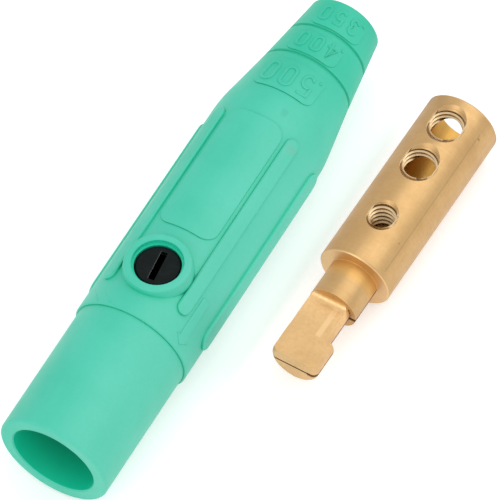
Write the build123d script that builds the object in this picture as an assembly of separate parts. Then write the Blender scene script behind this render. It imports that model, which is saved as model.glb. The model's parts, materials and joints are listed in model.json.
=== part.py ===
from build123d import *
import os
from math import cos, radians, sin, sqrt, tan

# Single-pole cam-lock connector for a portable power cable, male end, shown taken apart.
# The moulded sleeve lies along +Y with the centre of its mouth at the origin and its screw on top.
# The brass contact lies on the same table beside it. Millimetres, +Z up.

# Mating tube of the sleeve
mouth_diameter = 25.4
tube_end_diameter = 25.5
tube_length = 31.6
socket_diameter = 19.1
mouth_edge_radius = 0.8
socket_edge_chamfer = 0.3

# Gripping body of the sleeve
body_diameter = 26.6
body_length = 59.6
collar_edge_chamfer = 0.25

# Tapered cable end, which is cut off at a groove for a thicker cable
taper_length = 32.9
taper_blend_radius = 30.0
middle_ring_diameter = 21.5
tip_diameter = 16.5
tip_edge_chamfer = 0.5
tip_ring_length = 9.0
middle_ring_length = 8.8
groove_width = 0.9
groove_floor_width = 0.3
groove_depth = 0.42
large_cable_diameter = 12.7
medium_cable_diameter = 10.16
small_cable_diameter = 8.89
bore_step_length = 1.2

# Gripping ribs, raised on the body
rib_height = 0.7
rib_edge_chamfer = 0.25
rib_front_margin = 6.5
rib_back_margin = 4.6
slot_rib_width = 3.3
slot_rib_angle = 41.0
side_rib_width = 5.0

# Pads for a label and for the cable sizes, raised on the top
label_pad_height = 0.25
label_pad_width = 13.4
label_pad_length = 32.3
label_pad_corner = 3.0
label_pad_margin = 4.2
number_pad_height = 0.2
number_pad_corner = 1.8
number_pad_margin = 0.2
large_number_pad_length = 8.8
large_number_pad_width = 14.0
large_number_pad_setback = 2.1
medium_number_pad_length = 6.3
medium_number_pad_width = 11.8
small_number_pad_width = 11.6
large_number_pad_turn = 2.0
medium_number_pad_turn = 3.5
small_number_pad_turn = 11.0

# Boss that holds the retaining screw
screw_to_collar = 12.7
boss_diameter = 14.2
boss_draft_angle = 9.0
boss_height = 1.4
boss_edge_radius = 0.6
boss_recess_diameter = 11.0
boss_recess_depth = 1.2
boss_recess_chamfer = 0.15

# Retaining screw
screw_head_diameter = 9.8
screw_head_clearance = 0.15
screw_head_thickness = 2.8
screw_head_sink = 1.35
screw_head_chamfer = 0.35
screw_shank_diameter = 6.0
screw_shank_clearance = 0.06
screw_engagement = 5.5
screw_tip_chamfer = 0.6
screw_slot_length = 7.2
screw_slot_width = 1.45
screw_slot_depth = 1.2
screw_slot_turn = 6.0

# Barrel of the contact, turned from brass bar
barrel_diameter = 16.9
barrel_length = 45.8
barrel_front_chamfer = 0.3
barrel_rear_chamfer = 0.5
cable_bore_diameter = 10.5
cable_bore_depth = 25.4
cable_bore_chamfer = 0.4
drill_point_angle = 118.0
clamp_hole_diameter = 7.94
clamp_hole_countersink = 1.1
clamp_hole_margin = 7.2
clamp_hole_spacing = 11.3
lock_hole_diameter = 6.35
lock_hole_countersink = 0.75
lock_hole_margin = 11.8
lock_hole_depth = 8.0

# Split cam pin of the contact
pin_diameter = 11.1
collar_length = 8.8
neck_length = 8.9
nose_length = 7.2
nose_edge_radius = 1.2
nose_corner_radius = 1.5
neck_relief = 1.4
neck_relief_angle = 30.0
neck_undercut = 0.06
neck_corner_radius = 3.1
side_relief = 0.25
flat_height = 2.35
flat_run_out_radius = 1.5
slit_width = 0.36
slit_drop = 0.85

# How the contact fits the sleeve, and where it lies beside it
seat_clearance = 0.1
seat_end_clearance = 0.4
contact_gap = 6.6
contact_turn = 1.86
contact_shoulder_station = 71.1

# Radii and stations that follow from the sizes above
mouth_radius = mouth_diameter / 2
body_radius = body_diameter / 2
body_end = tube_length + body_length
sleeve_length = body_end + taper_length
small_groove = sleeve_length - tip_ring_length
large_groove = small_groove - middle_ring_length
barrel_radius = barrel_diameter / 2
pin_radius = pin_diameter / 2
pin_length = collar_length + neck_length + nose_length
screw_station = tube_length + screw_to_collar
seat_radius = barrel_radius + seat_clearance
seat_start = screw_station - lock_hole_margin
seat_end = seat_start + barrel_length + seat_end_clearance
boss_top = body_radius + boss_height
recess_floor = boss_top - boss_recess_depth
head_top = boss_top - screw_head_sink
head_seat = head_top - screw_head_thickness
shank_end = barrel_radius - screw_engagement


def corners_near(face, point, count):
    """Corners of a flat outline that lie nearest to a point of its sketch."""
    ranked = sorted(face.vertices(), key=lambda corner: (Vector(corner) - Vector(*point)).length)
    return ranked[:count]


def soft_corner(face, point, radius):
    """Outline with one corner cut back in three steps, close to a round of a radius."""
    face = chamfer(corners_near(face, point, 1), radius * (2 - sqrt(2)))
    return chamfer(corners_near(face, point, 2), radius * (tan(radians(22.5)) - tan(radians(11.25))))


def sleeve_blank():
    """Outside of the sleeve, turned about its axis."""
    points = [
        (0, 0),
        (mouth_radius, 0),
        (tube_end_diameter / 2, tube_length),
        (body_radius - collar_edge_chamfer, tube_length),
        (body_radius, tube_length + collar_edge_chamfer),
        (body_radius, body_end),
        (middle_ring_diameter / 2, large_groove),
        (tip_diameter / 2, sleeve_length),
        (0, sleeve_length),
    ]
    outline = make_face(Polyline(*points, close=True))
    outline = soft_corner(outline, points[1], mouth_edge_radius)
    outline = fillet(corners_near(outline, points[5], 1), taper_blend_radius)
    outline = chamfer(corners_near(outline, points[7], 1), tip_edge_chamfer)
    return revolve(outline, Axis.Y)


def sleeve_bore():
    """Space inside the sleeve: socket, seat of the contact and stepped cable passage."""
    socket_radius = socket_diameter / 2
    points = [
        (0, 0),
        (socket_radius + socket_edge_chamfer, 0),
        (socket_radius, socket_edge_chamfer),
        (socket_radius, seat_start),
        (seat_radius, seat_start),
        (seat_radius, seat_end),
        (large_cable_diameter / 2, seat_end),
        (large_cable_diameter / 2, large_groove),
        (medium_cable_diameter / 2, large_groove + bore_step_length),
        (medium_cable_diameter / 2, small_groove),
        (small_cable_diameter / 2, small_groove + bore_step_length),
        (small_cable_diameter / 2, sleeve_length),
        (0, sleeve_length),
    ]
    return revolve(make_face(Polyline(*points, close=True)), Axis.Y)


def taper_radius(station):
    """Outer radius of the tapered end at a station along the sleeve."""
    if station < large_groove:
        share = (station - body_end) / (large_groove - body_end)
        return body_radius + share * (middle_ring_diameter / 2 - body_radius)
    share = (station - large_groove) / (sleeve_length - large_groove)
    return middle_ring_diameter / 2 + share * (tip_diameter - middle_ring_diameter) / 2


def cut_off_groove(station):
    """Groove around the taper, narrower at its bottom."""
    bottom = taper_radius(station) - groove_depth
    points = [
        (bottom, station - groove_floor_width / 2),
        (bottom + 2 * groove_depth, station - groove_width + groove_floor_width / 2),
        (bottom + 2 * groove_depth, station + groove_width - groove_floor_width / 2),
        (bottom, station + groove_floor_width / 2),
    ]
    return revolve(make_face(Polyline(*points, close=True)), Axis.Y)


def body_skin(height):
    """Bar of the body's outline, larger by a raised detail's height."""
    bar = Cylinder(body_radius + height, body_length)
    return Pos(0, tube_length + body_length / 2, 0) * Rot(90, 0, 0) * bar


def taper_skin(height):
    """Bar of the taper's outline, larger by a raised detail's height."""
    points = [
        (0, body_end),
        (body_radius + height, body_end),
        (middle_ring_diameter / 2 + height, large_groove),
        (tip_diameter / 2 + height, sleeve_length),
        (0, sleeve_length),
    ]
    return revolve(make_face(Polyline(*points, close=True)), Axis.Y)


def grip_rib(width, angle):
    """Round-ended rib along the body, at an angle from the top."""
    start = tube_length + rib_front_margin
    end = body_end - rib_back_margin
    outward = (sin(radians(angle)), 0, cos(radians(angle)))
    base = Plane(origin=(0, (start + end) / 2, 0), x_dir=(0, 1, 0), z_dir=outward)
    bar = extrude(base * SlotOverall(end - start, width), body_diameter)
    rib = bar & body_skin(rib_height)
    crest = rib.faces().sort_by(Axis(base.origin, base.z_dir)).last
    return chamfer(crest.edges(), rib_edge_chamfer)


def grip_ribs():
    """Slot ribs either side of the top and bottom panels, and one wide rib on each side."""
    slot_angles = [slot_rib_angle, 180 - slot_rib_angle, 180 + slot_rib_angle, -slot_rib_angle]
    ribs = [grip_rib(slot_rib_width, angle) for angle in slot_angles]
    ribs += [grip_rib(side_rib_width, angle) for angle in (90, -90)]
    return ribs


def raised_pad(start, end, width, corner, skin, turn=0):
    """Round-cornered pad that stands on the sleeve up to a skin, turned from the top by an angle."""
    outline = Pos(0, (start + end) / 2) * RectangleRounded(width, end - start, corner)
    return Rot(0, turn, 0) * (extrude(outline, body_diameter) & skin)


def label_pad():
    """Bare pad between the ribs, behind the screw."""
    end = body_end - label_pad_margin
    skin = body_skin(label_pad_height)
    return raised_pad(end - label_pad_length, end, label_pad_width, label_pad_corner, skin)


def number_pads():
    """One pad on each ring of the taper, for its cable size."""
    edge = groove_width / 2 + number_pad_margin
    large_end = large_groove - groove_width / 2 - large_number_pad_setback
    medium_start = large_groove + edge
    small_start = small_groove + edge
    small_end = sleeve_length - tip_edge_chamfer - number_pad_margin
    spans = [
        (large_end - large_number_pad_length, large_end),
        (medium_start, medium_start + medium_number_pad_length),
        (small_start, small_end),
    ]
    widths = [large_number_pad_width, medium_number_pad_width, small_number_pad_width]
    turns = [large_number_pad_turn, medium_number_pad_turn, small_number_pad_turn]
    skin = taper_skin(number_pad_height)
    return [
        raised_pad(start, end, width, number_pad_corner, skin, turn)
        for (start, end), width, turn in zip(spans, widths, turns)
    ]


def upright_bar(radius, bottom, top):
    """Round bar on the screw's axis."""
    bar = Cylinder(radius, top - bottom, align=(Align.CENTER, Align.CENTER, Align.MIN))
    return Pos(0, screw_station, bottom) * bar


def screw_boss():
    """Round boss on the top of the body, with draft and a soft outer edge."""
    radius = boss_diameter / 2
    foot_radius = radius + (boss_top - seat_radius) * tan(radians(boss_draft_angle))
    points = [(0, seat_radius), (foot_radius, seat_radius), (radius, boss_top), (0, boss_top)]
    outline = soft_corner(make_face(Polyline(*points, close=True)), points[2], boss_edge_radius)
    return Pos(0, screw_station, 0) * revolve(Plane.XZ * outline, Axis.Z)


def screw_hole():
    """Recess in the boss, pocket for the screw's head and hole for its shank."""
    recess_radius = boss_recess_diameter / 2
    flare = Cone(
        recess_radius,
        recess_radius + boss_recess_chamfer,
        boss_recess_chamfer,
        align=(Align.CENTER, Align.CENTER, Align.MAX),
    )
    return [
        upright_bar(recess_radius, recess_floor, boss_top),
        Pos(0, screw_station, boss_top) * flare,
        upright_bar(screw_head_diameter / 2 + screw_head_clearance, head_seat, recess_floor),
        upright_bar(screw_shank_diameter / 2 + screw_shank_clearance, 0, head_seat),
    ]


def insulator_sleeve():
    """Moulded sleeve with its bore, ribs, pads, boss and cut-off grooves."""
    raised = [screw_boss(), label_pad()] + grip_ribs() + number_pads()
    cuts = [sleeve_bore(), cut_off_groove(large_groove), cut_off_groove(small_groove)]
    cuts += screw_hole()
    return (sleeve_blank() + raised) - cuts


def retaining_screw():
    """Slotted screw that turns in the boss and locks the contact in the sleeve."""
    head = upright_bar(screw_head_diameter / 2, head_seat, head_top)
    head = chamfer(head.edges().sort_by(Axis.Z).last, screw_head_chamfer)
    shank = upright_bar(screw_shank_diameter / 2, shank_end, head_seat)
    shank = chamfer(shank.edges().sort_by(Axis.Z).first, screw_tip_chamfer)
    slot = Box(
        screw_slot_width,
        screw_slot_length,
        screw_slot_depth,
        align=(Align.CENTER, Align.CENTER, Align.MAX),
    )
    return head + shank - Pos(0, screw_station, head_top) * Rot(0, 0, screw_slot_turn) * slot


def barrel():
    """Barrel of the contact, from its shoulder to its cable end."""
    points = [(0, 0), (barrel_radius, 0), (barrel_radius, barrel_length), (0, barrel_length)]
    outline = make_face(Polyline(*points, close=True))
    outline = chamfer(corners_near(outline, points[1], 1), barrel_front_chamfer)
    outline = chamfer(corners_near(outline, points[2], 1), barrel_rear_chamfer)
    return revolve(outline, Axis.Y)


def turned_bar(radius, start, length):
    """Round bar on the contact's axis, in front of a station on it."""
    bar = Cylinder(radius, length, align=(Align.CENTER, Align.CENTER, Align.MIN))
    return Pos(0, start, 0) * Rot(90, 0, 0) * bar


def flat_cut():
    """Space above the flat on the neck and nose, with a rounded run-out at the collar."""
    length = 2 * (neck_length + nose_length)
    outline = Rectangle(length, pin_diameter, align=(Align.MAX, Align.MIN))
    outline = fillet(corners_near(outline, (0, 0), 1), flat_run_out_radius)
    side_view = Plane.YZ.offset(-pin_diameter) * Pos(-collar_length, flat_height) * outline
    return extrude(side_view, 2 * pin_diameter)


def side_cut(start, length, reach, corner):
    """Space beside a stretch of the pin, whose side then has a rounded corner under the flat."""
    side = reach - side_relief
    far = pin_diameter
    crown = (side - corner, flat_height)
    flank = (side, flat_height - corner)
    arc = CenterArc((crown[0], flank[1]), corner, 0, 90)
    walls = Polyline(crown, (crown[0], far), (far, far), (far, -far), (side, -far), flank)
    end_view = Pos(0, start, 0) * Plane.XZ * make_face([arc, walls])
    return extrude(end_view, length)


def pin_neck():
    """Neck of the pin, turned off its centre and rounded beside the flat."""
    shift = neck_relief / 2
    across = -shift * cos(radians(neck_relief_angle))
    up = shift * sin(radians(neck_relief_angle))
    radius = pin_radius - shift - neck_undercut
    neck = Pos(across, 0, up) * turned_bar(radius, -collar_length, neck_length)
    return neck - side_cut(-collar_length, neck_length, across + radius, neck_corner_radius)


def pin_nose():
    """Nose of the pin, with a rounded front edge and a rounded corner beside the flat."""
    start = -collar_length - neck_length
    points = [(0, start), (pin_radius, start), (pin_radius, -pin_length), (0, -pin_length)]
    outline = soft_corner(make_face(Polyline(*points, close=True)), points[2], nose_edge_radius)
    nose = revolve(outline, Axis.Y)
    return nose - side_cut(start, nose_length, pin_radius, nose_corner_radius)


def cam_pin():
    """Pin in front of the shoulder: collar, relieved neck and nose, flat on top and saw slit."""
    slit = Box(pin_diameter, pin_length, slit_width, align=(Align.CENTER, Align.MAX, Align.CENTER))
    front = pin_neck() + pin_nose() - flat_cut()
    return turned_bar(pin_radius, 0, collar_length) + front - Pos(0, 0, -slit_drop) * slit


def drill_point(radius):
    """Cone that a drill leaves at the bottom of its hole, with its tip downward."""
    depth = radius / tan(radians(drill_point_angle / 2))
    return Cone(0, radius, depth, align=(Align.CENTER, Align.CENTER, Align.MAX))


def cable_bore():
    """Blind hole for the conductor, drilled from the cable end."""
    radius = cable_bore_diameter / 2
    bar = Cylinder(radius, cable_bore_depth, align=(Align.CENTER, Align.CENTER, Align.MIN))
    mouth = Cone(
        radius,
        radius + cable_bore_chamfer,
        cable_bore_chamfer,
        align=(Align.CENTER, Align.CENTER, Align.MAX),
    )
    bore = bar + drill_point(radius) + Pos(0, 0, cable_bore_depth) * mouth
    return Pos(0, barrel_length - cable_bore_depth, 0) * Rot(-90, 0, 0) * bore


def tapped_hole(diameter, countersink, station, bottom):
    """Upright hole at its thread's major diameter, with a countersunk rim."""
    bar = Cylinder(diameter / 2, barrel_radius - bottom, align=(Align.CENTER, Align.CENTER, Align.MIN))
    rim = Cone(
        diameter / 2,
        diameter / 2 + countersink,
        countersink,
        align=(Align.CENTER, Align.CENTER, Align.MAX),
    )
    return Pos(0, station, 0) * (Pos(0, 0, bottom) * bar + Pos(0, 0, barrel_radius) * rim)


def contact():
    """Brass contact, laid on the table beside the sleeve."""
    rear_hole = barrel_length - clamp_hole_margin
    lock_bottom = barrel_radius - lock_hole_depth
    holes = [
        cable_bore(),
        tapped_hole(clamp_hole_diameter, clamp_hole_countersink, rear_hole, 0),
        tapped_hole(clamp_hole_diameter, clamp_hole_countersink, rear_hole - clamp_hole_spacing, 0),
        tapped_hole(lock_hole_diameter, lock_hole_countersink, lock_hole_margin, lock_bottom),
    ]
    piece = (barrel() + cam_pin()) - holes
    across = body_radius + rib_height + contact_gap + barrel_radius
    height = barrel_radius - body_radius
    return Pos(across, 0, height) * Rot(0, 0, -contact_turn) * Pos(0, contact_shoulder_station, 0) * piece


pieces = {
    "insulator_sleeve": insulator_sleeve(),
    "retaining_screw": retaining_screw(),
    "contact": contact(),
}

os.makedirs("parts", exist_ok=True)
for name, piece in pieces.items():
    export_step(piece, f"parts/{name}.step")
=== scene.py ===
import json
from math import atan2, ceil, cos, radians, sin, sqrt, tau

import bmesh
import bpy
from mathutils import Matrix, Vector
from mathutils.bvhtree import BVHTree


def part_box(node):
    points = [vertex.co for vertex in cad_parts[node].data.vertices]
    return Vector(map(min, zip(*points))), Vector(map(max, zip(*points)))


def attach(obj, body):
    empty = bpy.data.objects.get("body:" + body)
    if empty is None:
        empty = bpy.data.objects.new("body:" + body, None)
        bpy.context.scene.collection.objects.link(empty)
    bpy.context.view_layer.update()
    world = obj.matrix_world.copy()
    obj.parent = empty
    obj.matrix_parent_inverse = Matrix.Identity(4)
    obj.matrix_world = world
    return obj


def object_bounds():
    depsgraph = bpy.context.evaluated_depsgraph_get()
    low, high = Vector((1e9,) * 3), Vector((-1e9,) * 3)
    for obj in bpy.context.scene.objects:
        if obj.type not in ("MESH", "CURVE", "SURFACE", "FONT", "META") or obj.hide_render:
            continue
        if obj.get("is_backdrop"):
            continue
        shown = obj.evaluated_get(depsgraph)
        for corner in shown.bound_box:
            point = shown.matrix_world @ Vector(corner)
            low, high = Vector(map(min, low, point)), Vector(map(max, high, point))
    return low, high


# Cam-lock connector taken apart: a moulded rubber sleeve with its retaining screw, and the brass
# contact beside it. Blender works in metres; MM turns the millimetres of this script into them.
# A station is a distance along the sleeve from its mouth, and angles are in degrees from the top.
MM = 0.001

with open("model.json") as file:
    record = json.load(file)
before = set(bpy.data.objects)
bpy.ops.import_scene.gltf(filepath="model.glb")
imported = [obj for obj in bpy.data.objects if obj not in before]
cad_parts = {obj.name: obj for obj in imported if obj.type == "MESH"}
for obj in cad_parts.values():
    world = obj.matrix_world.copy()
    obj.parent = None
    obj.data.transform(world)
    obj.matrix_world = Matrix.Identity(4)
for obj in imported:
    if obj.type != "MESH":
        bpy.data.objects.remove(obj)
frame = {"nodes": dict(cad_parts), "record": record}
cad_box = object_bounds()

# Camera of the photograph, fitted to the outlines of both pieces
CAMERA_PLACE = Vector((311.070, -411.810, 881.898)) * MM
CAMERA_FORWARD = Vector((-0.28771, 0.45456, -0.84297))
CAMERA_UP = Vector((-0.40052, 0.74241, 0.53704))
CAMERA_LENS = 358.26
CAMERA_SENSOR = 36.0

# Floor: size in metres, colour, roughness, and the glow that brings it to white for the camera
FLOOR_SIZE = 4.0
FLOOR_COLOUR = (0.88, 0.88, 0.88, 1)
FLOOR_ROUGHNESS = 0.9
FLOOR_LIFT = 0.37

# Room light: strength, the side that it is brighter from, and its tone on the far and on that side
WORLD_STRENGTH = 0.80
WORLD_BRIGHT_SIDE = (0.45, -0.88, 0.12)
WORLD_DIM = (0.78, 0.78, 0.79, 1)
WORLD_BRIGHT = (1.20, 1.20, 1.19, 1)
WHITE = (1, 1, 1, 1)

# Lamps over the cable end and in front of the mouth: place and diameter in metres, power in watts
LAMPS = {
    "key": ((0.50, 0.75, 1.15), 1.6, 6.0),
    "front": ((-0.25, -1.10, 0.60), 0.9, 2.8),
}

# Glowing white card that stands between the two pieces, lights their facing sides and keeps each
# out of the other's reflections: its place across, its ends along the sleeve, its top edge, the
# length over which it fades at each end, the height over which it fades toward its foot, the share
# left there, and its brightness
CARD_ACROSS = 18.4
CARD_SPAN = (36.0, 132.0)
CARD_TOP = 8.0
CARD_FADE = 14.0
CARD_FOOT = 5.0
CARD_FOOT_SHARE = 0.2
CARD_STRENGTH = 0.95

# Raised numbers on the rings of the taper: width and height of a stroke, how many steps the point
# stands from the first digit, and half its length. Each number has its text, the station of the
# foot of its digits, digit height, digit width, step from digit to digit, and the angle at which
# its middle digit stands.
NUMBER_STROKE = 0.72
NUMBER_HEIGHT = 0.22
DOT_STEP = 0.575
DOT_HALF = 0.04
NUMBERS = {
    "number_500": (".500", 102.1, 5.4, 2.4, 4.43, 0.45),
    "number_400": (".400", 112.6, 3.95, 1.9, 3.54, 4.4),
    "number_350": (".350", 121.4, 3.85, 1.7, 3.5, 9.3),
}

# Section of a raised stroke, in half widths and heights of it, and its rounded end: how far each
# row stands beyond the last point, in half widths, and how wide and high it is
STROKE_SECTION = [(-1, -0.3), (-1, 0.6), (-0.72, 1), (0.72, 1), (1, 0.6), (1, -0.3)]
STROKE_END = [(0.5, 0.87), (0.8, 0.6), (0.95, 0.31)]

# Direction marks of the lock, raised on the body behind the collar. The block arrow is given by
# rows of station, left and right angle, and by its section in widths and heights of it. The second
# mark has two thin lines of angle and station.
ARROW_HEIGHT = 0.2
ARROW_ROWS = [
    (44.7, 52.3, 62.3),
    (44.6, 52.1, 62.5),
    (34.75, 52.1, 62.5),
    (34.6, 48.5, 66.0),
    (33.0, 57.2, 57.6),
]
ARROW_SECTION = [
    (0, -0.3), (0, 0.6), (0.06, 1), (0.25, 1), (0.5, 1), (0.75, 1), (0.94, 1), (1, 0.6), (1, -0.3),
]
LINE_HEIGHT = 0.1
LINE_STROKE = 0.4
LINES = [[(-50, 35.4), (-40, 33.4), (-35.5, 32.4)], [(-33, 34.55), (-19.5, 32.4)]]

# Threads of the clamp holes and of the lock hole: pitch, depth, depth of the countersink, and how
# far the thread runs out on it. The profile of a thread gives shares of its pitch and of its depth.
# The ridges stand a little off the wall of the hole and end a little below the barrel's surface.
CLAMP_THREAD = (1.36, 0.42, 1.1, 0.4)
LOCK_THREAD = (1.45, 0.44, 0.75, 0.25)
THREAD_PROFILE = [(0.0, 1.0), (0.05, 1.0), (0.24, 0.0), (0.32, 0.0)]
THREAD_STEPS = 120
THREAD_LIFT = 0.03
THREAD_GAP = 0.1
THREAD_WELD = 0.001

# Steepest edge, in degrees, that an added piece shades smoothly, and where the rays start that find
# the sleeve's surface, in metres from its axis
SMOOTH_ANGLE = 50
RAY_START = 0.1

# Axes of the sleeve and of the retaining screw. Places on the contact are turned about the object's
# Z axis until the contact's axis runs along Y, and CONTACT_LINE is on it there.
SLEEVE_LINE = (0, 0, 0)
SCREW_LINE = (0, 44.3, 0)
CONTACT_LINE = (29.04, 0, -4.85)
ACROSS_Y = (1, 0, 1)
ACROSS_Z = (1, 1, 0)

# The contact's shoulder and the end of its milled flat, along the contact
SHOULDER = 72.04
FLAT_END = 63.2

# Noise patterns: size of the spots in millimetres, detail and roughness
RUBBER_CLOUD = (14.0, 3.0, 0.5)
RUBBER_FLECK = (0.9, 4.0, 0.6)
RUBBER_GLOSS = (5.0, 3.0, 0.5)
RUBBER_RIPPLE = (6.0, 1.0, 0.5)
RUBBER_GRAIN = (0.35, 3.0, 0.5)
PLASTIC_DUST = (1.6, 4.0, 0.65)
PLASTIC_GRAIN = (0.25, 3.0, 0.5)
BRASS_CLOUD = (5.0, 4.0, 0.5)
BRASS_SPECKLE = (0.7, 4.0, 0.7)
BRASS_GRAIN = (0.3, 3.0, 0.5)
BRASS_RINGS = (1.0, 4.0, 0.6)
BRASS_STREAKS = (1.0, 4.0, 0.65)
THREAD_CLOUD = (0.8, 3.0, 0.5)
THREAD_GRAIN = (0.2, 2.0, 0.5)

# How the lathe rings and the drawn streaks are squeezed and stretched across and along the contact
RINGS_STRETCH = (0.10, 3.0, 0.10)
STREAKS_STRETCH = (1.6, 0.12, 1.6)

# Depth of the relief of each pattern in millimetres
RIPPLE_DEPTH = 0.05
GRAIN_DEPTH = 0.006
MARKS_DEPTH = 0.010
BRASS_GRAIN_DEPTH = 0.003
THREAD_GRAIN_DEPTH = 0.004

# Rounding of the edges in the materials: radius on the sleeve and contact and on the screw,
# samples, and the match of the rounded direction with the plain one where the painted highlight
# of an edge begins and where it is full
EDGE_RADIUS = 0.12
SCREW_EDGE_RADIUS = 0.2
EDGE_SAMPLES = 6
EDGE_MATCH = (0.985, 0.85)

# Painted light and shade in corners and grooves: reach in millimetres, open share where the
# tone is full and where it ends
CORNER_SAMPLES = 12
RUBBER_CORNER_LIGHT = (1.6, 0.45, 0.95)
RUBBER_CREVICE_SHADE = (1.0, 0.35, 0.75)
BRASS_CREVICE_SHADE = (0.7, 0.05, 0.42)

# Ramps: two values, and what they are brought to. Values are places in millimetres, except for the
# noise patterns, the share of another pattern (0 to 1), and the side that an edge faces (-1 to 1).
RUBBER_RAMPS = {
    "cloud": (0.35, 0.65, 0, 1),
    "fleck": (0.3, 0.7, 0.85, 1),
    # Where the painted sheen lies: more on the right side, and along the sleeve more toward the
    # mouth
    "right side": (-1, 8, 0, 0.5),
    "sheen": (84, 108, 0.95, 0.15),
    # Inside of the mouth, where painted light at the opening fades to painted shade further in
    "mouth_shade radius": (9.56, 9.62, 1, 0),
    "mouth_shade depth": (0, 10, 0, 1),
    "mouth_shade end": (80, 84, 1, 0),
    # Where the painted light on the wall of the screw's recess lies
    "recess height": (10.0, 10.5, 0, 1),
    "recess radius": (5.5, 5.7, 0.8, 0),
    "gloss": (0.3, 0.7, 0.46, 0.56),
}
PLASTIC_RAMPS = {
    "dust": (0.45, 0.75, 0, 1),
    # Where the painted highlight lies: near the slot, on rims that face right
    "edge radius": (3.9, 4.2, 1, 0),
    "edge side": (0.05, 0.2, 0, 1),
    # Where the painted shade in the slot lies
    "slot depth": (0.1, 0.3, 0, 1),
    "slot radius": (4.2, 4.4, 1, 0),
    "slot side": (-0.7, -0.4, 0, 1),
    "gloss": (0, 1, 0.34, 0.46),
}
BRASS_RAMPS = {
    "cloud": (0.35, 0.7, 0, 1),
    "barrel": (SHOULDER - 0.1, SHOULDER, 0, 1),
    "flat": (FLAT_END - 0.2, FLAT_END, 1, 0),
    "streaks on barrel": (0, 1, 0.1, 0.45),
    "marks": (0.3, 0.7, 0, 0.35),
    "tarnish": (98, 116, 0, 0.5),
    "lighter pin": (0, 1, 0.8, 0.48),
    "flat end reflection": (57, 62, 0, 0.6),
    "bore radius": (5.3, 5.5, 0.75, 0),
    "speckle": (0.35, 0.65, 0, 0.30),
    "neck": (67.8, 69.5, 0, 1),
    "off barrel": (0, 1, 0.6, 0),
    "gloss marks": (0.3, 0.7, 0.34, 0.44),
    "gloss cloud": (0, 1, 0, 0.08),
}
THREAD_RAMPS = {
    "cloud": (0.35, 0.65, 0, 1),
    "root": (0.6, 1.0, 0, 0.9),
    "depth": (1.5, -6, 0, 0.75),
    "gloss": (0, 1, 0.22, 0.32),
}

# Colours of each material, the strength of its painted highlight on edges, and its specular level
RUBBER = {
    "clear": (0.006, 0.515, 0.325, 1),
    "clear light": (0.012, 0.545, 0.355, 1),
    # painted whitish sheen in two shades, and lighter on the right side
    "sheen": (0.046, 0.550, 0.385, 1),
    "sheen light": (0.066, 0.585, 0.425, 1),
    "sheen right": (0.120, 0.610, 0.455, 1),
    # inside of the mouth: painted light at the opening, and painted shade further in
    "mouth": (0.000, 0.720, 0.440, 1),
    "mouth_shade": (0.000, 0.430, 0.255, 1),
    # painted highlight along the edges
    "edge": (0.130, 0.640, 0.480, 1),
    # painted saturated light in corners
    "corner": (0.000, 0.585, 0.350, 1),
    # painted shade in narrow grooves
    "crevice": (0.000, 0.300, 0.170, 1),
    # painted light on the wall of the screw's recess
    "recess": (0.005, 0.640, 0.410, 1),
}
RUBBER_HIGHLIGHT_SHARE = 0.25
RUBBER_SPECULAR = 0.6
PLASTIC = {
    "black": (0.002, 0.005, 0.005, 1),
    "dust": (0.006, 0.010, 0.010, 1),
    # painted highlight on the rims that face right
    "edge": (0.200, 0.215, 0.215, 1),
    # painted shade inside the slot
    "slot": (0.000, 0.000, 0.000, 1),
}
PLASTIC_HIGHLIGHT_SHARE = 1.0
PLASTIC_SPECULAR = 0.12
BRASS = {
    "plain": (0.600, 0.388, 0.176, 1),
    "cloud": (0.560, 0.355, 0.155, 1),
    "marks": (0.480, 0.305, 0.132, 1),
    "tarnish": (0.430, 0.255, 0.118, 1),
    # lighter tone over the pin in front of the collar
    "lighter pin": (0.745, 0.490, 0.235, 1),
    # painted reflection on the pin next to the collar
    "flat end reflection": (0.960, 0.640, 0.310, 1),
    # painted shade inside the conductor hole
    "bore": (0.600, 0.330, 0.050, 1),
    "speckle": (0.470, 0.290, 0.125, 1),
    # painted reflection of the shoulder on the collar
    "neck": (0.700, 0.395, 0.110, 1),
    # painted highlight along the edges
    "edge": (0.800, 0.570, 0.310, 1),
    # painted shade in crevices
    "crevice": (0.120, 0.045, 0.015, 1),
}
BRASS_HIGHLIGHT_SHARE = 0.5
CUT_BRASS = {
    "flank": (0.720, 0.540, 0.320, 1),
    "cloud": (0.640, 0.450, 0.240, 1),
    # painted shade in the roots and deeper down the hole
    "root": (0.160, 0.095, 0.045, 1),
    "deep": (0.130, 0.080, 0.040, 1),
}

# Marks on the rubber: place, radius, strength and colour. The shares of its radius at which a spot
# is full and gone, and by which it is ragged, and the noise that does this: size as a share of the
# radius, detail, roughness, and the values that stand for the two ends.
SPOT_FULL = 0.4
SPOT_GONE = 1.1
SPOT_RAGGED = 0.5
SPOT_NOISE = (0.9, 3.0, 0.5)
SPOT_SPREAD = (0.3, 0.7)
RUBBER_MARKS = [
    ((9.9, 51.85, 8.9), 0.22, 0.55, (0.010, 0.230, 0.160, 1)),
    ((6.8, 62.5, 11.5), 0.20, 0.45, (0.010, 0.250, 0.170, 1)),
    ((4.2, 90.4, 12.6), 1.10, 0.22, (0.020, 0.330, 0.240, 1)),
    ((9.2, 84.0, 10.6), 1.60, 0.30, (0.200, 0.400, 0.330, 1)),
    ((13.1, 50.0, 2.3), 0.90, 0.25, (0.100, 0.400, 0.310, 1)),
]

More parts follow.
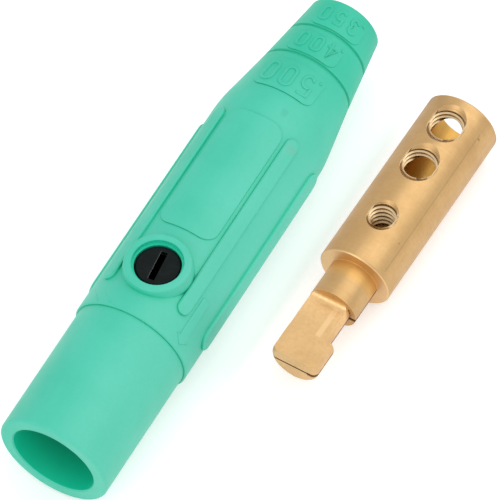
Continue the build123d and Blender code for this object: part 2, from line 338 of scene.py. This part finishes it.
# Marks on the brass in its turned places, each with its lowest and highest corner, strength and
# colour: a line along the barrel, a painted highlight strip on the milled flat, painted reflections
# on the shoulder and on the collar's end face, painted shade in bands beside the saw slit, and
# two specks on the barrel.
# They fade over a short way at their borders.
MARK_FADE = 0.1
BRASS_MARKS = [
    ((35.58, 73.5, -1), (35.70, 113.5, 4), 0.55, (0.300, 0.185, 0.085, 1)),
    # painted highlight strip on the milled flat
    ((30.05, 54.4, -3.0), (31.20, 62.2, -2.0), 0.50, (0.860, 0.620, 0.330, 1)),
    # painted reflections on the shoulder and on the collar's end face
    ((18.00, 71.95, -14.0), (42.00, 72.2, 5.0), 0.90, (0.770, 0.530, 0.280, 1)),
    ((18.00, 63.15, -2.4), (42.00, 63.2, 5.0), 0.60, (0.860, 0.650, 0.400, 1)),
    # painted shade in bands beside the saw slit
    ((20.00, 45.0, -5.95), (40.00, 71.9, -5.45), 0.90, (0.180, 0.060, 0.016, 1)),
    ((32.30, 45.0, -6.35), (40.00, 71.9, -5.30), 0.90, (0.180, 0.060, 0.016, 1)),
    ((32.30, 54.4, -5.50), (40.00, 63.1, -4.75), 0.90, (0.180, 0.060, 0.016, 1)),
    ((34.85, 80.5, 0), (35.05, 80.9, 4), 0.60, (0.200, 0.120, 0.060, 1)),
    ((35.70, 112.3, -1), (36.10, 112.7, 4), 0.60, (0.200, 0.120, 0.060, 1)),
]

mounts = {mount["name"]: mount for mount in frame["record"]["mounts"]}
sleeve = frame["nodes"]["insulator_sleeve"]
screw = frame["nodes"]["retaining_screw"]
contact = frame["nodes"]["contact"]
head_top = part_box("retaining_screw")[1][2] / MM
contact_axis = Vector(mounts["conductor_bore"]["axis"])
contact_low, contact_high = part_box("contact")
barrel_radius = (contact_high[2] - contact_low[2]) / 2
barrel_height = (contact_high[2] + contact_low[2]) / 2


def set_camera():
    """Camera at the photograph's place and angle."""
    data = bpy.data.cameras.new("camera")
    data.lens = CAMERA_LENS
    data.sensor_width = CAMERA_SENSOR
    camera = bpy.data.objects.new("camera", data)
    right = CAMERA_FORWARD.cross(CAMERA_UP).normalized()
    up = right.cross(CAMERA_FORWARD).normalized()
    turn = Matrix((right, up, -CAMERA_FORWARD.normalized())).transposed()
    camera.matrix_world = Matrix.Translation(CAMERA_PLACE) @ turn.to_4x4()
    bpy.context.scene.collection.objects.link(camera)
    bpy.context.scene.camera = camera


def add_node(tree, kind, inputs=None, **settings):
    """New node with its settings; an input is a value or another node's output."""
    node = tree.nodes.new(kind)
    for name, value in settings.items():
        setattr(node, name, value)
    for name, value in (inputs or {}).items():
        if isinstance(value, bpy.types.NodeSocket):
            tree.links.new(value, node.inputs[name])
        else:
            node.inputs[name].default_value = value
    return node


def new_material(name):
    """Material with its node tree and its shader node."""
    material = bpy.data.materials.new(name)
    material.use_nodes = True
    return material, material.node_tree, material.node_tree.nodes["Principled BSDF"]


def surface_mm(tree, turn=0.0, stretch=(1, 1, 1)):
    """Place on the object in millimetres, turned about Z and stretched."""
    place = add_node(tree, "ShaderNodeTexCoord").outputs["Object"]
    scale = [factor / MM for factor in stretch]
    turned = add_node(tree, "ShaderNodeVectorRotate", {"Vector": place, "Angle": turn},
                      rotation_type="Z_AXIS")
    return add_node(tree, "ShaderNodeVectorMath", {0: turned.outputs[0], 1: scale},
                    operation="MULTIPLY").outputs[0]


def noise(tree, place, pattern):
    """Cloudy value around 0.5 from a noise pattern."""
    size, detail, roughness = pattern
    node = add_node(tree, "ShaderNodeTexNoise",
                    {"Vector": place, "Scale": 1 / size, "Detail": detail, "Roughness": roughness})
    return node.outputs["Fac"]


def remap(tree, value, ramp):
    """Value brought from the first two values of a ramp to the last two, and held there."""
    start, end, low, high = ramp
    inputs = {"Value": value, "From Min": start, "From Max": end, "To Min": low, "To Max": high}
    return add_node(tree, "ShaderNodeMapRange", inputs).outputs["Result"]


def blend_colour(tree, share, first, second):
    """Colour between two colours."""
    node = add_node(tree, "ShaderNodeMix", {0: share, 6: first, 7: second}, data_type="RGBA")
    return node.outputs[2]


def lay_over(tree, tone, layers):
    """Tone with the colour of each layer laid over it by the layer's share."""
    for share, colour in layers:
        tone = blend_colour(tree, share, tone, colour)
    return tone


def blend_value(tree, share, first, second):
    """Value between two values."""
    return add_node(tree, "ShaderNodeMix", {0: share, 2: first, 3: second}).outputs[0]


def combine(tree, operation, first, second):
    """One value worked out from two."""
    return add_node(tree, "ShaderNodeMath", {0: first, 1: second}, operation=operation).outputs[0]


def product(tree, first, *others):
    """Values multiplied together."""
    for value in others:
        first = combine(tree, "MULTIPLY", first, value)
    return first


def from_line(tree, place, point, across):
    """Distance from a line through a point; across is 0 along the line and 1 across it."""
    away = add_node(tree, "ShaderNodeVectorMath", {0: place, 1: point}, operation="SUBTRACT")
    flat = add_node(tree, "ShaderNodeVectorMath", {0: away.outputs[0], 1: across},
                    operation="MULTIPLY")
    length = add_node(tree, "ShaderNodeVectorMath", {0: flat.outputs[0]}, operation="LENGTH")
    return length.outputs["Value"]


def separate(tree, place, axis):
    """One coordinate of a place."""
    return add_node(tree, "ShaderNodeSeparateXYZ", {0: place}).outputs[axis]


def spot(tree, place, middle, radius):
    """1 inside a ragged spot around a point of the object, 0 outside it."""
    distance = add_node(tree, "ShaderNodeVectorMath", {0: place, 1: middle}, operation="DISTANCE")
    size, detail, roughness = SPOT_NOISE
    ragged = remap(tree, noise(tree, place, (radius * size, detail, roughness)),
                   (*SPOT_SPREAD, -radius * SPOT_RAGGED, radius * SPOT_RAGGED))
    away = combine(tree, "SUBTRACT", distance.outputs["Value"], ragged)
    return remap(tree, away, (radius * SPOT_FULL, radius * SPOT_GONE, 1, 0))


def box_share(tree, place, low, high):
    """1 inside a box between two corners, fading to 0 just outside it."""
    shares = []
    for axis, start, end in zip("XYZ", low, high):
        value = separate(tree, place, axis)
        shares.append(remap(tree, value, (start - MARK_FADE, start + MARK_FADE, 0, 1)))
        shares.append(remap(tree, value, (end - MARK_FADE, end + MARK_FADE, 1, 0)))
    return product(tree, *shares)


def soft_edge(tree, radius):
    """Surface direction with the sharp edges rounded over a radius in millimetres."""
    return add_node(tree, "ShaderNodeBevel", {"Radius": radius * MM},
                    samples=EDGE_SAMPLES).outputs["Normal"]


def edges(tree, rounded, strength):
    """Strength along the edges, where the rounded surface direction leaves the plain one."""
    plain = add_node(tree, "ShaderNodeNewGeometry").outputs["Normal"]
    match = add_node(tree, "ShaderNodeVectorMath", {0: rounded, 1: plain}, operation="DOT_PRODUCT")
    return remap(tree, match.outputs["Value"], (*EDGE_MATCH, 0, strength))


def crevices(tree, corner):
    """1 deep in corners and grooves narrower than the reach of a corner, 0 on open surfaces."""
    reach, full, gone = corner
    open_share = add_node(tree, "ShaderNodeAmbientOcclusion", {"Distance": reach * MM},
                          samples=CORNER_SAMPLES, only_local=True).outputs["AO"]
    return remap(tree, open_share, (full, gone, 1, 0))


def bump(tree, height, depth, before=None):
    """Surface relief of a height pattern, depth in millimetres."""
    inputs = {"Height": height, "Distance": depth * MM, "Strength": 1.0}
    if before:
        inputs["Normal"] = before
    return add_node(tree, "ShaderNodeBump", inputs).outputs["Normal"]


def rubber_material():
    """Mint green moulded rubber: clear green under a painted whitish sheen, painted light and shade
    in the mouth, corners, grooves and screw recess, painted highlights on edges, fine grain,
    ripples and marks.
    """
    material, tree, shader = new_material("mint_green_rubber")
    ramps = RUBBER_RAMPS
    place = surface_mm(tree)
    along = separate(tree, place, "Y")
    rounded = soft_edge(tree, EDGE_RADIUS)

    cloud = remap(tree, noise(tree, place, RUBBER_CLOUD), ramps["cloud"])
    clear = blend_colour(tree, cloud, RUBBER["clear"], RUBBER["clear light"])
    # Painted sheen: a patchy whitish tone, lighter on the right side and stronger toward the mouth
    sheen_tone = blend_colour(tree, cloud, RUBBER["sheen"], RUBBER["sheen light"])
    right = remap(tree, separate(tree, place, "X"), ramps["right side"])
    sheen_tone = blend_colour(tree, right, sheen_tone, RUBBER["sheen right"])
    sheen = product(tree, remap(tree, along, ramps["sheen"]),
                    remap(tree, noise(tree, place, RUBBER_FLECK), ramps["fleck"]))

    radius = from_line(tree, place, SLEEVE_LINE, ACROSS_Y)
    # Inside of the mouth: painted light at the opening that fades to painted shade further in
    inside = product(tree, remap(tree, radius, ramps["mouth_shade radius"]),
                     remap(tree, along, ramps["mouth_shade end"]))
    mouth_shade = blend_colour(tree, remap(tree, along, ramps["mouth_shade depth"]),
                          RUBBER["mouth"], RUBBER["mouth_shade"])
    screw_radius = from_line(tree, place, SCREW_LINE, ACROSS_Z)
    # Painted light on the wall of the screw's recess
    recess = product(tree, remap(tree, separate(tree, place, "Z"), ramps["recess height"]),
                     remap(tree, screw_radius, ramps["recess radius"]))

    tone = lay_over(tree, blend_colour(tree, sheen, clear, sheen_tone), [
        (inside, mouth_shade),
        # painted highlight along the edges
        (edges(tree, rounded, RUBBER_HIGHLIGHT_SHARE), RUBBER["edge"]),
        # painted saturated light in corners
        (crevices(tree, RUBBER_CORNER_LIGHT), RUBBER["corner"]),
        # painted shade in narrow grooves
        (crevices(tree, RUBBER_CREVICE_SHADE), RUBBER["crevice"]),
        (recess, RUBBER["recess"]),
    ])
    tone = lay_over(tree, tone, [
        (product(tree, spot(tree, place, middle, size), strength), colour)
        for middle, size, strength, colour in RUBBER_MARKS
    ])
    tree.links.new(tone, shader.inputs["Base Color"])
    gloss = remap(tree, noise(tree, place, RUBBER_GLOSS), ramps["gloss"])
    tree.links.new(gloss, shader.inputs["Roughness"])
    shader.inputs["Specular IOR Level"].default_value = RUBBER_SPECULAR
    ripple = bump(tree, noise(tree, place, RUBBER_RIPPLE), RIPPLE_DEPTH, rounded)
    grain = bump(tree, noise(tree, place, RUBBER_GRAIN), GRAIN_DEPTH, ripple)
    tree.links.new(grain, shader.inputs["Normal"])
    return material


def screw_material():
    """Black moulded plastic with a matte grain, dusty patches, a painted highlight on the rims that
    face right, and painted shade in the slot.
    """
    material, tree, shader = new_material("black_moulded_plastic")
    ramps = PLASTIC_RAMPS
    place = surface_mm(tree)
    rounded = soft_edge(tree, SCREW_EDGE_RADIUS)
    radius = from_line(tree, place, SCREW_LINE, ACROSS_Z)
    dust = remap(tree, noise(tree, place, PLASTIC_DUST), ramps["dust"])
    # Painted highlight on the rims near the slot that face right
    rim_highlight = product(tree, edges(tree, rounded, PLASTIC_HIGHLIGHT_SHARE),
                     remap(tree, radius, ramps["edge radius"]),
                     remap(tree, separate(tree, rounded, "X"), ramps["edge side"]))
    below = combine(tree, "SUBTRACT", head_top, separate(tree, place, "Z"))
    # Painted shade inside the slot: black, and metallic so that it shows hardly any reflection
    slot_shade = product(tree, remap(tree, below, ramps["slot depth"]),
                      remap(tree, radius, ramps["slot radius"]),
                      remap(tree, separate(tree, rounded, "Y"), ramps["slot side"]))
    tone = lay_over(tree, blend_colour(tree, dust, PLASTIC["black"], PLASTIC["dust"]), [
        (rim_highlight, PLASTIC["edge"]),
        (slot_shade, PLASTIC["slot"]),
    ])
    tree.links.new(tone, shader.inputs["Base Color"])
    tree.links.new(slot_shade, shader.inputs["Metallic"])
    tree.links.new(remap(tree, dust, ramps["gloss"]), shader.inputs["Roughness"])
    shader.inputs["Specular IOR Level"].default_value = PLASTIC_SPECULAR
    grain = bump(tree, noise(tree, place, PLASTIC_GRAIN), GRAIN_DEPTH, rounded)
    tree.links.new(grain, shader.inputs["Normal"])
    return material


def brass_material():
    """Satin brass: drawn streaks on the barrel, lathe rings on the pin, tarnish and marks, with
    painted highlights on edges, painted reflections near the collar, and painted shade in crevices,
    inside the barrel and beside the saw slit.
    """
    material, tree, shader = new_material("satin_brass")
    ramps = BRASS_RAMPS
    turn = atan2(contact_axis.x, contact_axis.y)
    place = surface_mm(tree)
    turned = surface_mm(tree, turn)
    along = separate(tree, turned, "Y")
    rounded = soft_edge(tree, EDGE_RADIUS)

    on_barrel = remap(tree, along, ramps["barrel"])
    on_flat = remap(tree, along, ramps["flat"])
    rings = noise(tree, surface_mm(tree, turn, RINGS_STRETCH), BRASS_RINGS)
    streaks = noise(tree, surface_mm(tree, turn, STREAKS_STRETCH), BRASS_STREAKS)
    marks = blend_value(tree, remap(tree, on_barrel, ramps["streaks on barrel"]), rings, streaks)
    cloud = remap(tree, noise(tree, place, BRASS_CLOUD), ramps["cloud"])
    bore_radius = from_line(tree, turned, CONTACT_LINE, ACROSS_Y)

    tone = lay_over(tree, blend_colour(tree, cloud, BRASS["plain"], BRASS["cloud"]), [
        (remap(tree, marks, ramps["marks"]), BRASS["marks"]),
        (product(tree, remap(tree, along, ramps["tarnish"]), cloud), BRASS["tarnish"]),
        # lighter tone over the pin in front of the collar
        (product(tree, on_flat, remap(tree, cloud, ramps["lighter pin"])), BRASS["lighter pin"]),
        # painted reflection on the pin next to the collar
        (product(tree, on_flat, remap(tree, along, ramps["flat end reflection"])), BRASS["flat end reflection"]),
        # painted shade inside the conductor hole
        (product(tree, on_barrel, remap(tree, bore_radius, ramps["bore radius"])), BRASS["bore"]),
        (remap(tree, noise(tree, place, BRASS_SPECKLE), ramps["speckle"]), BRASS["speckle"]),
        # painted reflection of the shoulder on the collar
        (product(tree, remap(tree, along, ramps["neck"]),
                 remap(tree, on_barrel, ramps["off barrel"])), BRASS["neck"]),
        # painted highlight along the edges
        (edges(tree, rounded, BRASS_HIGHLIGHT_SHARE), BRASS["edge"]),
    ])
    tone = lay_over(tree, tone, [
        (product(tree, box_share(tree, turned, low, high), strength), colour)
        for low, high, strength, colour in BRASS_MARKS
    ])
    # Painted shade in crevices
    tone = blend_colour(tree, crevices(tree, BRASS_CREVICE_SHADE), tone, BRASS["crevice"])
    tree.links.new(tone, shader.inputs["Base Color"])
    shader.inputs["Metallic"].default_value = 1.0
    gloss = combine(tree, "ADD", remap(tree, marks, ramps["gloss marks"]),
                    remap(tree, cloud, ramps["gloss cloud"]))
    tree.links.new(gloss, shader.inputs["Roughness"])
    relief = bump(tree, marks, MARKS_DEPTH, rounded)
    relief = bump(tree, noise(tree, place, BRASS_GRAIN), BRASS_GRAIN_DEPTH, relief)
    tree.links.new(relief, shader.inputs["Normal"])
    return material


def thread_material():
    """Freshly cut brass of the threads, paler than the outside, with painted shade in the roots and
    deeper down.
    """
    material, tree, shader = new_material("cut_brass_thread")
    ramps = THREAD_RAMPS
    place = surface_mm(tree)
    cloud = remap(tree, noise(tree, place, THREAD_CLOUD), ramps["cloud"])
    groove = add_node(tree, "ShaderNodeAttribute", attribute_name="groove").outputs["Fac"]
    tone = lay_over(tree, blend_colour(tree, cloud, CUT_BRASS["flank"], CUT_BRASS["cloud"]), [
        # Painted shade in the roots and deeper down the hole
        (remap(tree, groove, ramps["root"]), CUT_BRASS["root"]),
        (remap(tree, separate(tree, place, "Z"), ramps["depth"]), CUT_BRASS["deep"]),
    ])
    tree.links.new(tone, shader.inputs["Base Color"])
    shader.inputs["Metallic"].default_value = 1.0
    tree.links.new(remap(tree, cloud, ramps["gloss"]), shader.inputs["Roughness"])
    grain = bump(tree, noise(tree, place, THREAD_GRAIN), THREAD_GRAIN_DEPTH)
    tree.links.new(grain, shader.inputs["Normal"])
    return material


def seen_light(tree):
    """1 for what the camera sees straight, mirrored or through glass, 0 for the room's light."""
    path = add_node(tree, "ShaderNodeLightPath").outputs
    seen = combine(tree, "MAXIMUM", path["Is Camera Ray"], path["Is Glossy Ray"])
    return combine(tree, "MAXIMUM", seen, path["Is Transmission Ray"])


def floor_material():
    """Pale matte floor that looks white to the camera and keeps the shadows."""
    material, tree, shader = new_material("pale_floor")
    shader.inputs["Base Color"].default_value = FLOOR_COLOUR
    shader.inputs["Roughness"].default_value = FLOOR_ROUGHNESS
    shader.inputs["Specular IOR Level"].default_value = 0.0
    lift = product(tree, seen_light(tree), FLOOR_LIFT)
    glow = add_node(tree, "ShaderNodeEmission", {"Color": WHITE, "Strength": lift})
    both = add_node(tree, "ShaderNodeAddShader", {0: shader.outputs[0], 1: glow.outputs[0]})
    tree.links.new(both.outputs[0], tree.nodes["Material Output"].inputs["Surface"])
    return material


def card_material(low):
    """White glow that fades out toward the card's two ends and toward its foot at a height."""
    material, tree, shader = new_material("white_card")
    tree.nodes.remove(shader)
    start, end = CARD_SPAN
    place = surface_mm(tree)
    along = separate(tree, place, "Y")
    up = separate(tree, place, "Z")
    fade = product(tree, remap(tree, along, (start, start + CARD_FADE, 0, 1)),
                   remap(tree, along, (end - CARD_FADE, end, 1, 0)),
                   remap(tree, up, (low, low + CARD_FOOT, CARD_FOOT_SHARE, 1)))
    light = product(tree, fade, CARD_STRENGTH)
    glow = add_node(tree, "ShaderNodeEmission", {"Color": WHITE, "Strength": light})
    clear = add_node(tree, "ShaderNodeBsdfTransparent")
    both = add_node(tree, "ShaderNodeMixShader", {0: fade, 1: clear.outputs[0], 2: glow.outputs[0]})
    tree.links.new(both.outputs[0], tree.nodes["Material Output"].inputs["Surface"])
    return material


def set_world():
    """Soft room light, brighter from the mouth's side, and white behind the object."""
    world = bpy.data.worlds.new("studio")
    world.use_nodes = True
    bpy.context.scene.world = world
    tree = world.node_tree
    tree.nodes.clear()
    toward = add_node(tree, "ShaderNodeTexCoord").outputs["Generated"]
    side = add_node(tree, "ShaderNodeVectorMath", {0: toward, 1: WORLD_BRIGHT_SIDE},
                    operation="DOT_PRODUCT").outputs["Value"]
    tone = blend_colour(tree, remap(tree, side, (-1, 1, 0, 1)), WORLD_DIM, WORLD_BRIGHT)
    room = add_node(tree, "ShaderNodeBackground", {"Color": tone, "Strength": WORLD_STRENGTH})
    white = add_node(tree, "ShaderNodeBackground", {"Color": WHITE, "Strength": 1.0})
    both = add_node(tree, "ShaderNodeMixShader",
                    {0: seen_light(tree), 1: room.outputs[0], 2: white.outputs[0]})
    out = add_node(tree, "ShaderNodeOutputWorld")
    tree.links.new(both.outputs[0], out.inputs["Surface"])


def set_card():
    """Glowing white card between the pieces, which lights them, which the camera doesn't see and
    which throws no shadow.
    """
    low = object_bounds()[0][2] / MM
    start, end = CARD_SPAN
    corners = [(start, low), (end, low), (end, CARD_TOP), (start, CARD_TOP)]
    places = [Vector((CARD_ACROSS, along, up)) * MM for along, up in corners]
    mesh = bpy.data.meshes.new("card")
    mesh.from_pydata(places, [], [(0, 1, 2, 3)])
    mesh.materials.append(card_material(low))
    card = bpy.data.objects.new("card", mesh)
    card.visible_camera = False
    card.visible_shadow = False
    bpy.context.scene.collection.objects.link(card)
    card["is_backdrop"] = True


def set_stage():
    """Floor under the object and the soft lamps above it."""
    floor_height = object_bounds()[0][2]
    bpy.ops.mesh.primitive_plane_add(size=FLOOR_SIZE, location=(0, 0, floor_height))
    floor = bpy.context.object
    floor.name = "floor"
    floor.data.materials.append(floor_material())
    floor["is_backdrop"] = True
    middle = (Vector(cad_box[0]) + Vector(cad_box[1])) / 2
    for name, (place, size, power) in LAMPS.items():
        light = bpy.data.lights.new(name, "AREA")
        light.shape = "DISK"
        light.size = size
        light.energy = power
        lamp = bpy.data.objects.new(name, light)
        lamp.location = place
        lamp.rotation_euler = (middle - Vector(place)).to_track_quat("-Z", "Y").to_euler()
        bpy.context.scene.collection.objects.link(lamp)


def new_piece(name, mesh, material):
    """Piece of the housing with its material, attached to the housing's body."""
    piece = bpy.data.objects.new(name, mesh)
    bpy.context.scene.collection.objects.link(piece)
    mesh.materials.append(material)
    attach(piece, "housing")
    return piece


def surface_finder(node):
    """Function from an angle and a station to the way outward and the node's surface there."""
    mesh = node.data
    corners = [vertex.co for vertex in mesh.vertices]
    faces = [polygon.vertices[:] for polygon in mesh.polygons]
    tree = BVHTree.FromPolygons(corners, faces)

    def find(angle, station):
        outward = Vector((sin(angle), 0, cos(angle)))
        start = outward * RAY_START + Vector((0, station, 0))
        hit = tree.ray_cast(start, -outward)[0]
        return outward, hit

    return find


def arc(middle, radii, start, end, steps=10):
    """Points on an arc from one angle in degrees to another."""
    points = []
    for step in range(steps + 1):
        angle = radians(start + (end - start) * step / steps)
        points.append((middle[0] + radii[0] * cos(angle), middle[1] + radii[1] * sin(angle)))
    return points


def digit_strokes(digit, width, height):
    """Middle lines of a digit's strokes, and whether each is closed; a point for other characters.

    The digit stands on zero. Its numbers are shares of its height or half width, and degrees.
    """
    half = width / 2
    if digit == "0":
        top = arc((0, height - half), (half, half), 0, 180)
        return [(top + arc((0, half), (half, half), 180, 360), True)]
    if digit == "5":
        bowl_half = height * 0.31
        bowl = arc((0, bowl_half), (half, bowl_half), 140, -140, 18)
        start = [(half * 0.8, height), (-half * 0.8, height), (-half, bowl_half * 1.75)]
        return [(start + bowl[1:], False)]
    if digit == "3":
        upper = height * 0.24
        lower = height * 0.26
        top = arc((0, height - upper), (half * 0.9, upper), 150, -80, 14)
        return [(top + arc((0, lower), (half, lower), 80, -150, 14), False)]
    if digit == "4":
        stem = half * 0.45
        bar = height * 0.28
        return [([(stem, 0), (stem, height), (-half, bar), (half * 1.05, bar)], False)]
    return [([(-DOT_HALF, 0), (DOT_HALF, 0)], False)]


def stroke_rings(points, closed):
    """Rings across a stroke: place, sideways direction, width share and height share of each.

    The points are in half widths of the stroke.
    """
    points = [Vector(point) for point in points]
    count = len(points)
    rings = []
    for index, point in enumerate(points):
        before = points[index - 1] if index or closed else point
        after = points[(index + 1) % count] if index < count - 1 or closed else point
        along = (after - before).normalized()
        rings.append((point, Vector((-along.y, along.x)), 1.0, 1.0))
    if closed:
        return rings
    first, last = rings[0], rings[-1]
    start_along = Vector((first[1].y, -first[1].x))
    end_along = Vector((last[1].y, -last[1].x))
    start = [(first[0] - start_along * reach, first[1], share, share)
             for reach, share in reversed(STROKE_END)]
    end = [(last[0] + end_along * reach, last[1], share, share) for reach, share in STROKE_END]
    return start + rings + end


def add_stroke(shape, points, closed, stroke, height, to_surface):
    """Raised rounded stroke on the sleeve, added to a mesh being built."""
    scaled = [(x / (stroke / 2), y / (stroke / 2)) for x, y in points]
    rows = []
    for place, sideways, width_share, height_share in stroke_rings(scaled, closed):
        row = []
        for across, level in STROKE_SECTION:
            point = (place + sideways * across * width_share) * stroke / 2
            lift = height * (level if level < 0 else level * height_share)
            row.append(shape.verts.new(to_surface(point.x, point.y, lift)))
        rows.append(row)
    pairs = list(zip(rows, rows[1:]))
    if closed:
        pairs.append((rows[-1], rows[0]))
    for row, after in pairs:
        for index in range(len(STROKE_SECTION) - 1):
            shape.faces.new((row[index], row[index + 1], after[index + 1], after[index]))
    if not closed:
        shape.faces.new(rows[0])
        shape.faces.new(list(reversed(rows[-1])))


def finish_mesh(shape, name):
    """Mesh of a shape that was built, shaded smooth over its gentle edges."""
    bmesh.ops.recalc_face_normals(shape, faces=shape.faces)
    mesh = bpy.data.meshes.new(name)
    shape.to_mesh(mesh)
    shape.free()
    mesh.shade_smooth()
    mesh.set_sharp_from_angle(angle=radians(SMOOTH_ANGLE))
    return mesh


def number_piece(name, find, material):
    """Raised cable size on one ring of the taper, read from the cable end."""
    text, foot, height, width, step, middle = NUMBERS[name]
    shape = bmesh.new()
    radius = find(0, (foot - height / 2) * MM)[1].z / MM

    def to_surface(right, up, lift):
        angle = radians(middle) - right / radius
        outward, surface = find(angle, (foot - up) * MM)
        return surface + outward * lift * MM

    for index, character in enumerate(text):
        shift = (index - 2) * step
        if character == ".":
            shift = -(1 + DOT_STEP) * step
        for points, closed in digit_strokes(character, width, height):
            moved = [(x + shift, y) for x, y in points]
            add_stroke(shape, moved, closed, NUMBER_STROKE, NUMBER_HEIGHT, to_surface)
    new_piece(name, finish_mesh(shape, name), material)


def thread_piece(name, thread, material, bottom):
    """Helical thread inside one tapped hole, from its countersink down to a bottom.

    Each column of corners goes up the wall of the hole. Corners past the two ends of the thread are
    held there and welded, and "groove" is 1 in the roots of the thread and 0 on its crests.
    """
    mount = mounts[name]
    pitch, depth, countersink, run_out = (size * MM for size in thread)
    hole = (mount["dims"]["r_mm"] - THREAD_LIFT) * MM
    middle = Vector((mount["pos_m"][0], mount["pos_m"][1], barrel_height))
    across = Vector((contact_axis.y, -contact_axis.x, 0))
    rim = barrel_radius - countersink
    lowest = bottom(hole)
    turns = ceil((rim + run_out - lowest) / pitch) + 1
    shape = bmesh.new()
    groove = shape.verts.layers.float.new("groove")
    columns = []
    for turn_step in range(THREAD_STEPS + 1):
        share = turn_step / THREAD_STEPS
        side = hole * cos(tau * share)
        low = bottom(side)
        top = min(rim + run_out, sqrt(barrel_radius ** 2 - side ** 2) - THREAD_GAP * MM)
        direction = across * cos(tau * share) + contact_axis * sin(tau * share)
        column = []
        for turn in range(-1, turns):
            for rise, crest in THREAD_PROFILE:
                level = min(max(lowest + (turn + rise + share) * pitch, low), top)
                above = max(0, level - rim)
                left = 1 - above / run_out
                reach = hole + above - depth * crest * left
                corner = shape.verts.new(middle + direction * reach + Vector((0, 0, level)))
                corner[groove] = (1 - crest) * left
                column.append(corner)
        columns.append(column)
    for column, after in zip(columns, columns[1:]):
        for index in range(len(column) - 1):
            shape.faces.new((column[index], after[index], after[index + 1], column[index + 1]))
    bmesh.ops.remove_doubles(shape, verts=shape.verts, dist=THREAD_WELD * MM)
    mesh = finish_mesh(shape, name + "_thread")
    mesh.flip_normals()
    new_piece(name + "_thread", mesh, material)


def arrow_piece(find, material):
    """Raised block arrow beside the screw, pointing to the collar."""
    shape = bmesh.new()
    rows = []
    for station, left, right in ARROW_ROWS:
        row = []
        for share, level in ARROW_SECTION:
            outward, surface = find(radians(left + (right - left) * share), station * MM)
            row.append(shape.verts.new(surface + outward * level * ARROW_HEIGHT * MM))
        rows.append(row)
    for row, after in zip(rows, rows[1:]):
        for index in range(len(ARROW_SECTION) - 1):
            shape.faces.new((row[index], row[index + 1], after[index + 1], after[index]))
    shape.faces.new(rows[0])
    shape.faces.new(list(reversed(rows[-1])))
    new_piece("lock_arrow", finish_mesh(shape, "lock_arrow"), material)


def line_piece(find, material):
    """Thin raised lines of the second direction mark."""
    radius = find(0, LINES[0][0][1] * MM)[1].z / MM
    shape = bmesh.new()

    def to_surface(right, up, lift):
        outward, surface = find(right / radius, up * MM)
        return surface + outward * lift * MM

    for line in LINES:
        points = [(radians(angle) * radius, station) for angle, station in line]
        add_stroke(shape, points, False, LINE_STROKE, LINE_HEIGHT, to_surface)
    new_piece("lock_lines", finish_mesh(shape, "lock_lines"), material)


def dress_cad_nodes(rubber, plastic, brass):
    """Finished material on each CAD piece."""
    for node, material in ((sleeve, rubber), (screw, plastic), (contact, brass)):
        node.data.materials.clear()
        node.data.materials.append(material)


set_camera()
set_world()
set_stage()
set_card()
rubber = rubber_material()
plastic = screw_material()
brass = brass_material()
cut_brass = thread_material()
dress_cad_nodes(rubber, plastic, brass)
find_sleeve = surface_finder(sleeve)
for number in NUMBERS:
    number_piece(number, find_sleeve, rubber)
arrow_piece(find_sleeve, rubber)
line_piece(find_sleeve, rubber)

cable_radius = mounts["conductor_bore"]["dims"]["r_mm"] * MM
lock_length = mounts["lock_hole"]["dims"]["length_mm"] * MM
for clamp in ("clamp_hole_rear", "clamp_hole_front"):
    thread_piece(clamp, CLAMP_THREAD, cut_brass, lambda side: sqrt(cable_radius ** 2 - side ** 2))
lock_floor = barrel_radius - LOCK_THREAD[2] * MM - lock_length
thread_piece("lock_hole", LOCK_THREAD, cut_brass, lambda side: lock_floor)

scene = bpy.context.scene
scene.view_settings.view_transform = "Standard"
